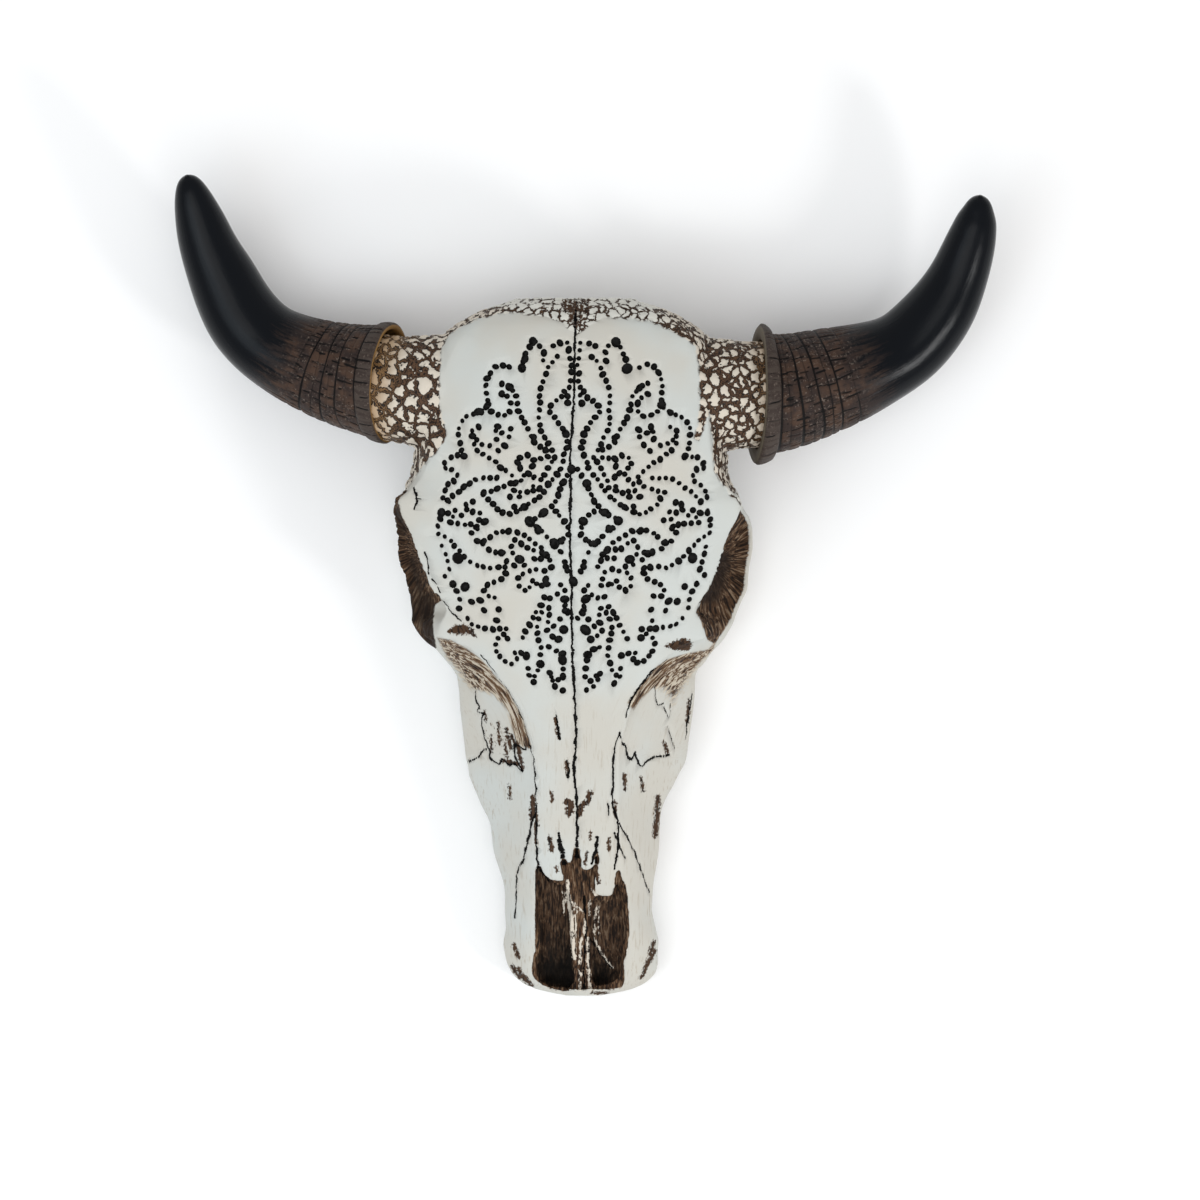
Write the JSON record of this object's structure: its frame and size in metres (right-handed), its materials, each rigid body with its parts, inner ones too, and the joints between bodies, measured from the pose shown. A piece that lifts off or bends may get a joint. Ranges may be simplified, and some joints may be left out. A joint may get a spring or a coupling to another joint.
{
  "type": "carved cow skull",
  "caption": "Cow skull with a flat back, open sockets and nose, and two curved horns sleeved over its horn cores.",
  "frame": {"origin": "on the flat back, on the middle line of the face, level with the lower end of the sockets", "axes": "+X to the viewer's right, +Y to the poll between the horns, +Z out of the face"},
  "size_m": [0.4991, 0.499, 0.109],
  "materials": {
    "bone": "matte whitewashed bone with brown stain in the grooves",
    "horn": "satin black horn, cracked and brown at the collar"
  },
  "bodies": {
    "root": {"skull": "bone", "horn_left": "horn", "horn_right": "horn"}
  },
  "joints": []
}
